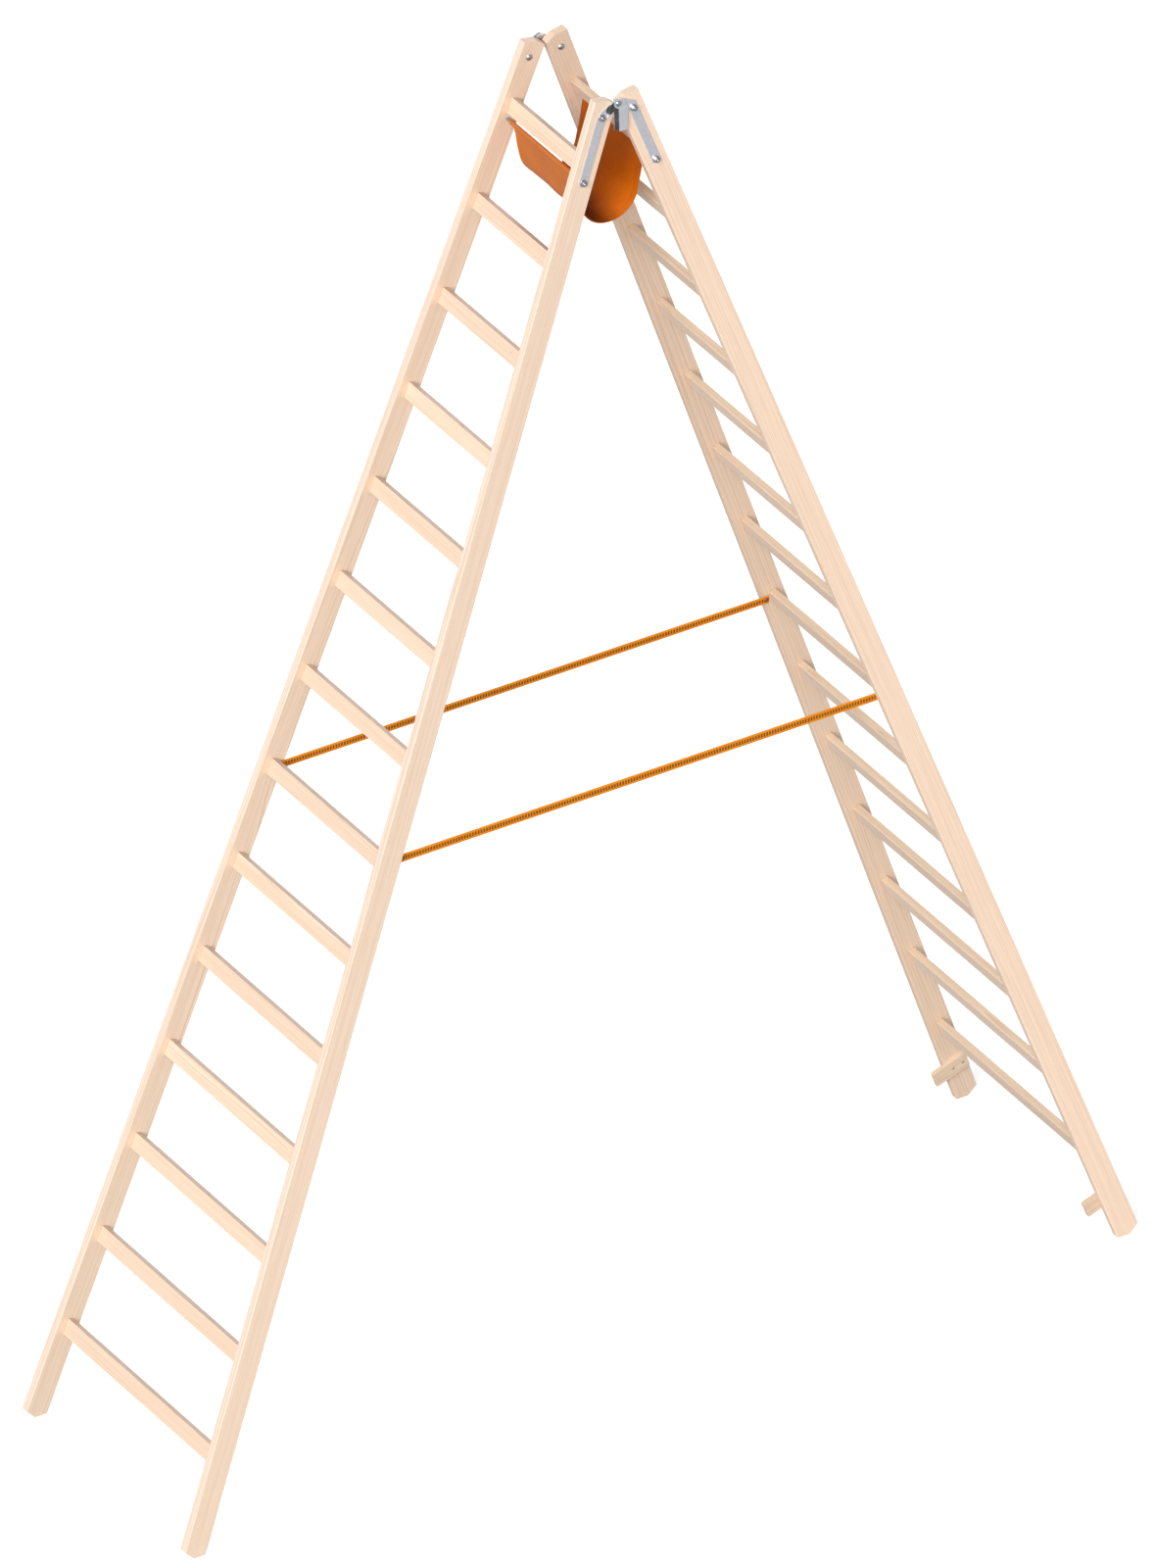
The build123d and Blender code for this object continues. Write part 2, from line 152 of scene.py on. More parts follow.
def sawn_wood_group():
    """Grain of a sawn board that lies along Z: rings about a pith line, streaks, veins and fibres."""
    tree, take, give = new_group(
        "sawn_wood",
        [("Board", "Vector"), ("Pith", "Vector"), ("Ring Width", "Float"),
         ("Pale", "Color"), ("Dark", "Color")],
        [("Color", "Color"), ("Roughness", "Float"), ("Height", "Float")])
    board = take["Board"]
    wander = speckle(tree, board, (5.0, 5.0, 0.9), 1.0).outputs["Color"]
    wander = reckon_vector(tree, "SUBTRACT", wander, (0.5, 0.5, 0.5))
    wander = reckon_vector(tree, "MULTIPLY", wander, (0.05, 0.05, 0))
    off_pith = reckon_vector(tree, "ADD", reckon_vector(tree, "SUBTRACT", board, take["Pith"]), wander)
    off_pith = reckon_vector(tree, "MULTIPLY", off_pith, (1, 1, 0))
    waver = speckle(tree, board, (60, 60, 1.6), 2.0).outputs["Fac"]
    rings = reckon(tree, "DIVIDE", reckon_vector(tree, "LENGTH", off_pith), take["Ring Width"])
    rings = reckon(tree, "ADD", rings, reckon(tree, "MULTIPLY", waver, 1.1))
    within = reckon(tree, "FRACT", rings)
    late = reckon(tree, "MULTIPLY", fade(tree, within, 0.30, 0.90), fade(tree, within, 0.92, 1.0, 1.0, 0.0))
    year = put(tree, "ShaderNodeTexWhiteNoise", {"W": reckon(tree, "FLOOR", rings)}, noise_dimensions="1D")
    late = reckon(tree, "MULTIPLY", late, reckon(tree, "MULTIPLY_ADD", year.outputs["Value"], 0.7, 0.3))
    streak = speckle(tree, board, (150, 150, 1.1), 3.0, 0.6).outputs["Fac"]
    vein = speckle(tree, board, (260, 260, 4), 3.0, 0.6).outputs["Fac"]
    fibre = speckle(tree, board, (850, 850, 12), 2.0, 0.6).outputs["Fac"]
    canal = fade(tree, speckle(tree, board, (1300, 1300, 60), 1.0).outputs["Fac"], 0.66, 0.74)
    tone = reckon(tree, "MULTIPLY", late, late_strength)
    for layer, strength in ((fade(tree, streak, 0.35, 0.70), streak_strength),
                            (reckon(tree, "SUBTRACT", fibre, 0.5), fibre_strength),
                            (reckon(tree, "SUBTRACT", vein, 0.5), vein_strength),
                            (canal, canal_strength)):
        tone = reckon(tree, "ADD", tone, reckon(tree, "MULTIPLY", layer, strength))
    tone = put(tree, "ShaderNodeClamp", {"Value": tone}).outputs[0]
    tree.links.new(blend_colours(tree, tone, take["Pale"], take["Dark"]), give["Color"])
    rough = reckon(tree, "MULTIPLY_ADD", fibre, 0.16, 0.40)
    tree.links.new(reckon(tree, "ADD", rough, reckon(tree, "MULTIPLY", late, -0.06)), give["Roughness"])
    ridge = reckon(tree, "ADD", reckon(tree, "MULTIPLY", late, 0.5), reckon(tree, "MULTIPLY", fibre, 0.5))
    tree.links.new(reckon(tree, "SUBTRACT", ridge, canal), give["Height"])
    return tree


def rubbed_edge_group():
    """Patchy rubbing along a bar's long edges. Section starts at its middle line, Half is its half size."""
    tree, take, give = new_group(
        "rubbed_edges", [("Section", "Vector"), ("Half", "Vector"), ("Reach", "Float")], [("Mask", "Float")])
    depth = reckon_vector(tree, "SUBTRACT", take["Half"], reckon_vector(tree, "ABSOLUTE", take["Section"]))
    parts = put(tree, "ShaderNodeSeparateXYZ", {0: depth}).outputs
    from_edge = reckon(tree, "DIVIDE", reckon(tree, "MAXIMUM", parts[0], parts[1]), take["Reach"])
    patch = speckle(tree, take["Section"], (120, 120, 14), 4.0, 0.65).outputs["Fac"]
    uneven = reckon(tree, "ADD", from_edge, reckon(tree, "MULTIPLY_ADD", patch, 1.6, -0.6))
    tree.links.new(fade(tree, uneven, 0.25, 0.95, 1.0, 0.0), give["Mask"])
    return tree


sawn_wood = sawn_wood_group()
rubbed_edges = rubbed_edge_group()


def new_material(name):
    """Material with only its shader and output."""
    material = bpy.data.materials.new(name)
    material.use_nodes = True
    tree = material.node_tree
    tree.nodes.clear()
    shader = tree.nodes.new("ShaderNodeBsdfPrincipled")
    put(tree, "ShaderNodeOutputMaterial", {"Surface": shader.outputs[0]})
    return material, tree, shader


def wear_material(node_name, material):
    """Gives a CAD node one material."""
    slots = nodes[node_name].data.materials
    slots.clear()
    slots.append(material)


def finish_wood(tree, shader, board, half, pith, ring_width, along, tint):
    """Varnished wood in a board's own frame: grain, rubbed edges, and sawn ends that face along the grain."""
    grain = put(tree, "ShaderNodeGroup", node_tree=sawn_wood)
    tree.links.new(board, grain.inputs["Board"])
    for socket, value in (("Ring Width", ring_width), ("Pale", wood_pale), ("Dark", wood_dark)):
        grain.inputs[socket].default_value = value
    if isinstance(pith, bpy.types.NodeSocket):
        tree.links.new(pith, grain.inputs["Pith"])
    else:
        grain.inputs["Pith"].default_value = pith
    edges = put(tree, "ShaderNodeGroup", node_tree=rubbed_edges)
    tree.links.new(board, edges.inputs["Section"])
    edges.inputs["Half"].default_value = half
    edges.inputs["Reach"].default_value = rubbed_edge_reach
    facing = put(tree, "ShaderNodeTexCoord").outputs["Normal"]
    end = fade(tree, reckon(tree, "ABSOLUTE", reckon_vector(tree, "DOT_PRODUCT", facing, along)), 0.55, 0.85)
    colour = blend_colours(tree, 1.0, grain.outputs["Color"], tint, "MULTIPLY")
    colour = blend_colours(tree, reckon(tree, "MULTIPLY", end, 0.20), colour, sawn_end_colour)
    rubbed = reckon(tree, "MULTIPLY", edges.outputs["Mask"], 0.12)
    colour = blend_colours(tree, rubbed, colour, rubbed_edge_colour)
    tree.links.new(colour, shader.inputs["Base Color"])
    rough = reckon(tree, "ADD", grain.outputs["Roughness"], reckon(tree, "MULTIPLY", end, 0.25))
    tree.links.new(reckon(tree, "ADD", rough, rubbed), shader.inputs["Roughness"])
    relief = {"Height": grain.outputs["Height"], "Strength": 0.35, "Distance": 0.00025}
    tree.links.new(put(tree, "ShaderNodeBump", relief).outputs[0], shader.inputs["Normal"])


to_stile = Matrix.Rotation(taper, 3, "Y") @ Matrix.Rotation(lean, 3, "X")
stile_shift = to_stile @ Vector((0, foot_reach, 0))
stile_shift -= Matrix.Rotation(taper, 3, "Y") @ Vector((foot_half_width, 0, 0))
stile_centre = Vector((-stile_thickness / 2, stile_depth / 2, 0))
stile_half = (stile_thickness / 2, stile_depth / 2, 0)
# Per stile: narrow side, foot and head tints. The left stiles are painted darker, the back one most, and
# every head darker on its wide sides: painted shade. The rest of the tints is each board's tone.
for stile_number, (ladder, side, flip, narrow_tint, foot_tint, head_shade_tint) in enumerate((
        ("front", "right", Vector((1, 1, 1)),
         (0.97, 1.00, 1.06, 1), (0.97, 0.97, 0.97, 1), (0.94, 0.93, 0.93, 1)),
        ("front", "left", Vector((-1, 1, 1)),
         (0.97, 1.00, 1.06, 1), (0.92, 0.92, 0.91, 1), (0.90, 0.88, 0.86, 1)),
        ("back", "right", Vector((1, -1, 1)),
         (0.96, 0.97, 1.00, 1), (0.98, 0.97, 0.96, 1), (0.98, 0.97, 0.97, 1)),
        ("back", "left", Vector((-1, -1, 1)),
         (0.88, 0.86, 0.86, 1), (0.83, 0.81, 0.79, 1), (0.82, 0.79, 0.77, 1)))):
    wood, tree, shader = new_material(f"{ladder}_{side}_stile_wood")
    place = put(tree, "ShaderNodeTexCoord").outputs["Object"]
    mapping = put(tree, "ShaderNodeMapping", {"Vector": place, "Rotation": (lean, taper, 0), "Scale": flip})
    grain_start = stile_grain_apart * stile_number
    mapping.inputs["Location"].default_value = stile_shift - stile_centre + Vector((0, 0, grain_start))
    section = mapping.outputs[0]
    length = put(tree, "ShaderNodeSeparateXYZ", {0: section}).outputs[2]
    # Painted shade: the wide sides darken towards the head of the stile.
    head_shade = fade(tree, reckon(tree, "SUBTRACT", length, grain_start), 0.6, 3.8)
    facing = put(tree, "ShaderNodeTexCoord").outputs["Normal"]
    sideways = reckon(tree, "ABSOLUTE", reckon_vector(tree, "DOT_PRODUCT", facing, (1, 0, 0)))
    wide_side = fade(tree, sideways, 0.5, 0.9)
    tint = blend_colours(tree, wide_side, narrow_tint, blend_colours(tree, head_shade, foot_tint, head_shade_tint))
    along = to_stile.transposed() @ Vector((0, 0, 1))
    along = Vector((along.x * flip.x, along.y * flip.y, along.z))
    pith = (0.050 + 0.010 * stile_number, 0.110 - 0.055 * (stile_number % 2), 0)
    finish_wood(tree, shader, section, stile_half, pith, stile_ring_width, along, tint)
    wear_material(f"{ladder}_stile_{side}", wood)

# Rungs
# Fourteen flat bars a ladder, 44 by 19 mm with rounded edges, of the same softwood. Their ends are
# glued blind into mortises in the stiles. Each is a board of its own tone. Painted shade makes their tops
# darker and greyer and the back ladder's rungs darker. Each end darkens into a glue line at the stile,
# partly glue and partly painted shade.
rung_first = 0.272
rung_pitch = 0.265
rung_height = 0.044
rung_depth = 0.019
rung_count = 14
rung_ring_width = 0.0034
rung_grain_apart = 3.7
rung_draw_apart = 40.0
glue_and_shade_colour = (0.55, 0.50, 0.45, 1)
glue_and_shade_reach = 0.007
# The back ladder's face tint darkens its rungs: painted shade. The front one only warms their tone.
for ladder, flip_y, face_tone_and_shade, top_shade_tint in (
        ("front", 1, (1.00, 0.98, 0.96, 1), (0.60, 0.56, 0.57, 1)),
        ("back", -1, (0.88, 0.89, 0.92, 1), (0.76, 0.73, 0.65, 1))):
    wood, tree, shader = new_material(f"{ladder}_rung_wood")
    place = put(tree, "ShaderNodeTexCoord").outputs["Object"]
    turn = {"Vector": place, "Rotation": (lean, 0, 0), "Scale": (1, flip_y, 1)}
    mapping = put(tree, "ShaderNodeMapping", turn)
    mapping.inputs["Location"].default_value = (
        Matrix.Rotation(lean, 3, "X") @ Vector((0, foot_reach, 0)) - Vector((0, stile_depth / 2, rung_first)))
    parts = put(tree, "ShaderNodeSeparateXYZ", {0: mapping.outputs[0]}).outputs
    number = reckon(tree, "ROUND", reckon(tree, "DIVIDE", parts[2], rung_pitch))
    height = reckon(tree, "SUBTRACT", parts[2], reckon(tree, "MULTIPLY", number, rung_pitch))
    lengthwise = reckon(tree, "ADD", parts[0], reckon(tree, "MULTIPLY", number, rung_grain_apart + flip_y))
    section = put(tree, "ShaderNodeCombineXYZ", {0: parts[1], 1: height, 2: lengthwise}).outputs[0]
    draw_seed = reckon(tree, "ADD", number, rung_draw_apart * flip_y)
    draw = put(tree, "ShaderNodeTexWhiteNoise", {"W": draw_seed}, noise_dimensions="1D")
    pith = reckon_vector(tree, "MULTIPLY_ADD", draw.outputs["Color"], (0.10, 0.05, 0), (-0.05, 0.02, 0))
    shade = reckon(tree, "MULTIPLY_ADD", draw.outputs["Value"], 0.09, 0.93)
    tint = put(tree, "ShaderNodeCombineColor", {0: shade, 1: shade, 2: shade}).outputs[0]
    tint = blend_colours(tree, 1.0, tint, face_tone_and_shade, "MULTIPLY")
    # The tops, which face up, are painted darker and greyer: painted shade.
    facing = put(tree, "ShaderNodeTexCoord").outputs["Normal"]
    upward = reckon_vector(tree, "DOT_PRODUCT", facing, (0, flip_y * sin(lean), cos(lean)))
    top_shade = fade(tree, upward, 0.60, 0.90)
    tint = blend_colours(tree, reckon(tree, "MULTIPLY", top_shade, 0.75), tint, top_shade_tint)
    # Each rung end darkens towards the stile: a dark glue line, and painted shade fading out from the joint.
    first_half_length = foot_half_width - stile_thickness / cos(taper) - rung_first * sin(taper)
    from_middle = reckon(tree, "MULTIPLY_ADD", parts[2], sin(taper), reckon(tree, "ABSOLUTE", parts[0]))
    to_end = reckon(tree, "SUBTRACT", first_half_length, from_middle)
    glue_and_shade = fade(tree, to_end, 0.0, glue_and_shade_reach, 0.45, 0.0)
    tint = blend_colours(tree, glue_and_shade, tint, glue_and_shade_colour)
    rung_half = (rung_depth / 2, rung_height / 2, 0)
    finish_wood(tree, shader, section, rung_half, pith, rung_ring_width, (1, 0, 0), tint)
    for rung_number in range(1, rung_count + 1):
        wear_material(f"{ladder}_rung_{rung_number:02d}", wood)

# Guide blocks
# Short blocks of the same wood, screwed flat to the inner faces of the back stiles near the feet.
# They stick out forward, and catch the front stiles when the ladder is folded. Grain along the block.
block_half = (0.0055, 0.0225, 0)
block_centre = Vector((-0.0285, 0.0525, 0.13466))
block_tint = (0.81, 0.80, 0.76, 1)
block_ring_width = 0.0036
block_grain_start = 5.0
for side, flip in (("right", Vector((1, -1, 1))), ("left", Vector((-1, -1, 1)))):
    wood, tree, shader = new_material(f"{side}_guide_block_wood")
    place = put(tree, "ShaderNodeTexCoord").outputs["Object"]
    mapping = put(tree, "ShaderNodeMapping", {"Vector": place, "Rotation": (lean, taper, 0), "Scale": flip})
    mapping.inputs["Location"].default_value = stile_shift - block_centre
    parts = put(tree, "ShaderNodeSeparateXYZ", {0: mapping.outputs[0]}).outputs
    lengthwise = reckon(tree, "ADD", parts[1], block_grain_start + flip.x)
    section = put(tree, "ShaderNodeCombineXYZ", {0: parts[0], 1: parts[2], 2: lengthwise}).outputs[0]
    along = to_stile.transposed() @ Vector((0, 1, 0))
    along = Vector((along.x * flip.x, along.y * flip.y, along.z))
    pith = (0.03, 0.01 * flip.x, 0)
    finish_wood(tree, shader, section, block_half, pith, block_ring_width, along, block_tint)
    wear_material(f"guide_block_{side}", wood)

# Hinges, rods and their fasteners
# Leaves stamped from flat steel, carriage bolts, hexagon nuts on washers, domed rivets and two round
# rods, all plated with bright zinc. The screws of the straps are browned, those of the blocks dull.


def zinc_group():
    """Zinc plate: faint crystals, a cloudy bloom, and fine scratches one way."""
    tree, take, give = new_group(
        "zinc_plate", [("Place", "Vector"), ("Tone", "Color"), ("Dullness", "Float")],
        [("Color", "Color"), ("Roughness", "Float"), ("Height", "Float")])
    place = take["Place"]
    cells = put(tree, "ShaderNodeTexVoronoi", {"Vector": place, "Scale": 330.0})
    crystal = put(tree, "ShaderNodeSeparateColor", {0: cells.outputs["Color"]}).outputs[0]
    bloom = speckle(tree, place, (70, 70, 70), 4.0, 0.6).outputs["Fac"]
    scratch = speckle(tree, place, (3000, 160, 160), 2.0, 0.6).outputs["Fac"]
    tone = reckon(tree, "MULTIPLY_ADD", crystal, 0.10, 0.90)
    tone = reckon(tree, "ADD", tone, reckon(tree, "MULTIPLY_ADD", bloom, 0.16, -0.08))
    tint = put(tree, "ShaderNodeCombineColor", {0: tone, 1: tone, 2: tone}).outputs[0]
    tree.links.new(blend_colours(tree, 1.0, take["Tone"], tint, "MULTIPLY"), give["Color"])
    rough = reckon(tree, "ADD", take["Dullness"], reckon(tree, "MULTIPLY_ADD", bloom, 0.18, -0.09))
    rough = reckon(tree, "ADD", rough, reckon(tree, "MULTIPLY_ADD", crystal, 0.08, -0.04))
    tree.links.new(rough, give["Roughness"])
    tree.links.new(reckon(tree, "ADD", scratch, reckon(tree, "MULTIPLY", bloom, 0.6)), give["Height"])
    return tree


zinc_plate = zinc_group()


def zinc_material(name, tone, dullness, metal):
    """Zinc-plated steel."""
    material, tree, shader = new_material(name)
    place = put(tree, "ShaderNodeTexCoord").outputs["Object"]
    plate = put(tree, "ShaderNodeGroup", node_tree=zinc_plate)
    tree.links.new(place, plate.inputs["Place"])
    plate.inputs["Tone"].default_value = tone
    plate.inputs["Dullness"].default_value = dullness
    tree.links.new(plate.outputs["Color"], shader.inputs["Base Color"])
    tree.links.new(plate.outputs["Roughness"], shader.inputs["Roughness"])
    relief = {"Height": plate.outputs["Height"], "Strength": 0.3, "Distance": 0.00006}
    tree.links.new(put(tree, "ShaderNodeBump", relief).outputs[0], shader.inputs["Normal"])
    shader.inputs["Metallic"].default_value = metal
    return material


leaf_zinc = zinc_material("leaf_zinc", (0.82, 0.84, 0.89, 1), 0.42, 0.75)
bolt_zinc = zinc_material("bolt_zinc", (0.50, 0.50, 0.52, 1), 0.30, 1.0)
dull_zinc = zinc_material("dull_zinc", (0.50, 0.41, 0.32, 1), 0.60, 0.5)
browned_steel = zinc_material("browned_steel", (0.30, 0.17, 0.09, 1), 0.45, 1.0)
for ladder in ("front", "back"):
    for side in ("right", "left"):
        wear_material(f"{ladder}_hinge_leaf_{side}", leaf_zinc)
    for fasteners in ("hinge_bolts", "hinge_nuts", "rod_nuts"):
        wear_material(f"{ladder}_{fasteners}", bolt_zinc)
    wear_material(f"sling_rod_{ladder}", bolt_zinc)
    wear_material(f"{ladder}_strap_screws", browned_steel)
for side in ("right", "left"):
    wear_material(f"hinge_pivot_{side}", bolt_zinc)
wear_material("guide_block_screws", dull_zinc)

# Wear plates
# Thin punched plates of black nylon between the eyes of the two leaves of each hinge,
# so that the leaves turn on them and not on each other. Their black is a dark sheet of painted shade
# where the leaves shade each other.
shade_black_nylon, tree, shader = new_material("wear_plate_shade_black")
place = put(tree, "ShaderNodeTexCoord").outputs["Object"]
grit = speckle(tree, place, (900, 900, 900), 3.0).outputs["Fac"]
rub = speckle(tree, place, (60, 60, 60), 4.0).outputs["Fac"]
# The black stands for the shade between the leaves: painted shade.
black = blend_colours(tree, fade(tree, rub, 0.4, 0.7), (0.030, 0.030, 0.032, 1), (0.075, 0.075, 0.080, 1))
tree.links.new(black, shader.inputs["Base Color"])
tree.links.new(reckon(tree, "MULTIPLY_ADD", rub, 0.25, 0.35), shader.inputs["Roughness"])
bump = put(tree, "ShaderNodeBump", {"Height": grit, "Strength": 0.3, "Distance": 0.0001})
tree.links.new(bump.outputs[0], shader.inputs["Normal"])
for side in ("right", "left"):
    wear_material(f"hinge_wear_plate_{side}", shade_black_nylon)

# Tool sling
# One open-ended sheet of orange coated cloth that hangs between the two rods and holds hand tools.
# Its long edges are turned over the rods and sewn down with two rows, and its open ends are turned in
# and sewn once. Its inner face is painted darker at the bottom towards the front wall and up the back wall
# near its rod, as painted shade.
sling_low, sling_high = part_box("tool_sling")
rod_low, rod_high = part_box("sling_rod_back")
rod_y = (rod_low.y + rod_high.y) / 2
rod_z = (rod_low.z + rod_high.z) / 2
trough_radius = 0.080
trough_drop = 0.1695
cloth_thickness = 0.0013
turned_in_thickness = 0.0022
turned_in_width = 0.014
hem_radius = 0.0051
hem_closes = 0.014
hem_ends = 0.031
lap_layers = 1.2
lap_steps = 7
lap_shares = (0.25, 0.5, 0.75)
loop_steps = 22
wall_steps = 30
trough_steps = 32
middle_columns = 61
column_tolerance = 0.0004
slack_reach = 0.06
wave_height = 0.0030
ripple_height = 0.0008
curl_height = 0.0022
curl_reach = 0.022
cloth_threads = 900
trough_z = rod_z - trough_drop + trough_radius
wall_turn = (atan2(rod_z - trough_z, rod_y)
             - acos((trough_radius + hem_radius) / hypot(rod_y, rod_z - trough_z)))
outward = Vector((cos(wall_turn), sin(wall_turn)))
rod_at = Vector((rod_y, rod_z))
wall_head = rod_at - outward * hem_radius
wall_foot = Vector((0, trough_z)) + outward * trough_radius
downward = (wall_foot - wall_head).normalized()
wall_length = (wall_foot - wall_head).length
lap = outward * cloth_thickness * lap_layers


def sling_side():
    """Half of the sling's section, from its hem's end to the lowest point, as points and outward normals."""
    points = [wall_head + lap + downward * d for d in np.linspace(hem_ends, hem_closes, lap_steps)]
    normals = [outward] * lap_steps
    arm = points[-1] - rod_at
    start = atan2(arm.y, arm.x) + acos(hem_radius / arm.length)
    touch = rod_at + Vector((cos(start), sin(start))) * hem_radius
    for share in lap_shares:
        points.append(points[lap_steps - 1].lerp(touch, share))
        normals.append(Vector((cos(start), sin(start))))
    for angle in np.linspace(start, wall_turn + pi, loop_steps):
        normals.append(Vector((cos(angle), sin(angle))))
        points.append(rod_at + normals[-1] * hem_radius)
    for d in np.linspace(0, wall_length, wall_steps)[1:-1]:
        points.append(wall_head + downward * d)
        normals.append(outward)
    for angle in np.linspace(wall_turn, -pi / 2, trough_steps):
        normals.append(Vector((cos(angle), sin(angle))))
        points.append(Vector((0, trough_z)) + normals[-1] * trough_radius)
    return points, normals


side_points, side_normals = sling_side()
hem_count = lap_steps + len(lap_shares) + loop_steps
section_points = side_points + [Vector((-p.x, p.y)) for p in side_points[-2::-1]]
section_normals = side_normals + [Vector((-n.x, n.y)) for n in side_normals[-2::-1]]
section_steps = [0] + [(b - a).length for a, b in zip(section_points, section_points[1:])]
section_lengths = np.cumsum(section_steps)
cloth_length = float(section_lengths[-1])
hem_length = section_lengths[hem_count - 1]
cloth_width = sling_high.x - sling_low.x


def cloth_swell(x, row):
    """How far the cloth stands off its even section: slack waves, and open ends that curl a little."""
    from_hem = min(section_lengths[row], cloth_length - section_lengths[row]) - hem_length
    slack = min(max(from_hem / slack_reach, 0), 1)
    slack = slack * slack * (3 - 2 * slack)
    across = section_lengths[row] - cloth_length / 2
    waves = noise.noise(Vector((x * 11, across * 7, 3.1))) * wave_height
    waves += noise.noise(Vector((x * 30, across * 16 + x * 8, 8.7))) * ripple_height
    end = min(x - sling_low.x, sling_high.x - x)
    curl = curl_height * np.exp(-end / curl_reach) * (0.4 + noise.noise(Vector((x, across * 9, 5.5))))
    return slack * (waves + curl)


def cloth_point(x, row, lift=0.0):
    """Point of the hanging cloth at a width x and a row of its section, lifted outward."""
    off = section_normals[row] * (cloth_swell(x, row) + lift)
    return Vector((x, section_points[row].x + off.x, section_points[row].y + off.y))


turned_in = [0, 0.0012, 0.005, 0.009, 0.0132, turned_in_width]
cloth_columns = [sling_low.x + d for d in turned_in[:-1]]
cloth_columns += list(np.linspace(sling_low.x + turned_in_width, sling_high.x - turned_in_width,
                                  middle_columns))
cloth_columns += [sling_high.x - d for d in turned_in[-2::-1]]
column_count, row_count = len(cloth_columns), len(section_points)
bpy.ops.mesh.primitive_grid_add(x_subdivisions=column_count - 1, y_subdivisions=row_count - 1, size=1)
sling = bpy.context.object
sling.name = "tool_sling_cloth"
sling.data.name = "tool_sling_cloth"
cut = sling.data.uv_layers[0]
cut.name = "cut"
thick_ends = sling.vertex_groups.new(name="turned_in")
cut_places = []
for vertex in sling.data.vertices:
    column = round((vertex.co.x + 0.5) * (column_count - 1))
    row = round((vertex.co.y + 0.5) * (row_count - 1))
    x = cloth_columns[column]
    cut_places.append((x - sling_low.x, section_lengths[row]))
    if min(x - sling_low.x, sling_high.x - x) < turned_in_width - column_tolerance:
        thick_ends.add([vertex.index], 1.0, "REPLACE")
    vertex.co = cloth_point(x, row)
for loop in sling.data.loops:
    cut.data[loop.index].uv = cut_places[loop.vertex_index]
solid = sling.modifiers.new("cloth", "SOLIDIFY")
solid.thickness = turned_in_thickness
solid.offset = 0
solid.vertex_group = "turned_in"
solid.thickness_vertex_group = cloth_thickness / turned_in_thickness
bpy.ops.object.modifier_apply(modifier="cloth")
bpy.ops.object.shade_smooth_by_angle(angle=radians(50))


def plain_weave_group():
    """Threads over and under each other; Threads counts them along and across the cloth."""
    tree, take, give = new_group("plain_weave", [("Threads", "Vector")], [("Height", "Float")])
    parts = put(tree, "ShaderNodeSeparateXYZ", {0: take["Threads"]}).outputs
    warp = reckon(tree, "ABSOLUTE", reckon(tree, "SINE", reckon(tree, "MULTIPLY", parts[0], pi)))
    weft = reckon(tree, "ABSOLUTE", reckon(tree, "SINE", reckon(tree, "MULTIPLY", parts[1], pi)))
    count = reckon(tree, "ADD", reckon(tree, "FLOOR", parts[0]), reckon(tree, "FLOOR", parts[1]))
    over = reckon(tree, "FLOORED_MODULO", count, 2.0)
    warp_height = reckon(tree, "MULTIPLY", warp, reckon(tree, "MULTIPLY_ADD", weft, 0.45, 0.55))
    weft_height = reckon(tree, "MULTIPLY", weft, reckon(tree, "MULTIPLY_ADD", warp, 0.45, 0.55))
    height = reckon(tree, "ADD", reckon(tree, "MULTIPLY", over, warp_height),
                    reckon(tree, "MULTIPLY", reckon(tree, "SUBTRACT", 1.0, over), weft_height))
    tree.links.new(height, give["Height"])
    return tree


plain_weave = plain_weave_group()


def cloth_material(name, deep, bright, gloss):
    """Coated cloth laid out by its cut: clouded dye, fine creases and a plain weave under the coat."""
    material, tree, shader = new_material(name)
    flat_place = put(tree, "ShaderNodeUVMap", uv_map="cut").outputs[0]
    weave = put(tree, "ShaderNodeGroup", node_tree=plain_weave)
    threads = reckon_vector(tree, "MULTIPLY", flat_place, (cloth_threads, cloth_threads, 0))
    tree.links.new(threads, weave.inputs["Threads"])
    cloud = speckle(tree, flat_place, (14, 14, 1), 4.0, 0.6).outputs["Fac"]
    crease = speckle(tree, flat_place, (45, 8, 1), 5.0, 0.7).outputs["Fac"]
    crease = fade(tree, reckon(tree, "ABSOLUTE", reckon(tree, "SUBTRACT", crease, 0.5)), 0.0, 0.022, 1.0, 0.0)
    worn = tuple(min(1.0, 1.25 * c + 0.02) for c in bright[:3]) + (1,)
    colour = blend_colours(tree, fade(tree, cloud, 0.25, 0.75), deep, bright)
    colour = blend_colours(tree, reckon(tree, "MULTIPLY", crease, 0.16), colour, worn)
    colour = blend_colours(tree, reckon(tree, "MULTIPLY", weave.outputs["Height"], 0.15), colour, worn)
    tree.links.new(reckon(tree, "MULTIPLY_ADD", cloud, 0.16, 0.38), shader.inputs["Roughness"])
    shader.inputs["Specular IOR Level"].default_value = gloss
    height = reckon(tree, "ADD", weave.outputs["Height"], reckon(tree, "MULTIPLY", crease, 0.8))
    bump = put(tree, "ShaderNodeBump", {"Height": height, "Strength": 0.35, "Distance": 0.00012})
    tree.links.new(bump.outputs[0], shader.inputs["Normal"])
    return material, tree, shader, colour, put(tree, "ShaderNodeSeparateXYZ", {0: flat_place}).outputs


outer_face, tree, shader, colour, parts = cloth_material(
    "orange_cloth_outer_face", (0.510, 0.130, 0.014, 1), (0.590, 0.162, 0.020, 1), 0.35)
tree.links.new(colour, shader.inputs["Base Color"])
inner_face, tree, shader, colour, parts = cloth_material(
    "orange_cloth_inner_face", (0.560, 0.116, 0.001, 1), (0.630, 0.140, 0.002, 1), 0.10)
